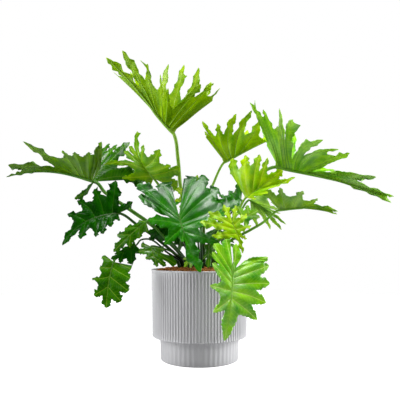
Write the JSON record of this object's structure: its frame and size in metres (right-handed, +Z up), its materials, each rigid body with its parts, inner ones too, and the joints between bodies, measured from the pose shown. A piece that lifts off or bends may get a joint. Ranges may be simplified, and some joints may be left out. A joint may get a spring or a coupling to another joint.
{
  "type": "potted lacy tree philodendron",
  "caption": "Potted lacy tree philodendron: deeply lobed fronds on long stems, rooted in soil in a grey fluted pot that steps in to a narrower foot.",
  "frame": {"origin": "centre of the pot's flat underside, on the surface it stands on", "axes": "+Z up along the pot's axis, front along -Y, +X to the right seen from the front, towards the longest frond"},
  "size_m": [0.8356, 0.4586, 0.6829],
  "materials": {
    "pot": "matte",
    "soil": "matte",
    "leaf_bright": "satin",
    "leaf_green": "satin",
    "leaf_dark": "satin"
  },
  "bodies": {
    "root": {"pot": "pot", "soil": "soil", "frond_crest": "leaf_bright", "frond_upper_right": "leaf_green", "frond_far_right": "leaf_green", "frond_far_left": "leaf_dark", "frond_left_upright": "leaf_bright", "frond_left_dark": "leaf_dark", "frond_left_bright": "leaf_green", "frond_left_low": "leaf_dark", "frond_left_hanging": "leaf_dark", "frond_rim_left": "leaf_green", "frond_inner_left": "leaf_dark", "frond_centre": "leaf_dark", "frond_young_frilly": "leaf_bright", "frond_right_cupped": "leaf_bright", "frond_right_low": "leaf_green", "frond_right_pleated": "leaf_dark", "frond_inner_right_small": "leaf_bright", "frond_inner_right": "leaf_dark", "frond_front_hanging": "leaf_green", "frond_rim_centre": "leaf_green", "frond_rim_lime": "leaf_bright", "frond_inner_back": "leaf_green", "frond_back_left": "leaf_dark", "frond_back_middle": "leaf_dark", "frond_back_right": "leaf_dark"}
  },
  "joints": []
}
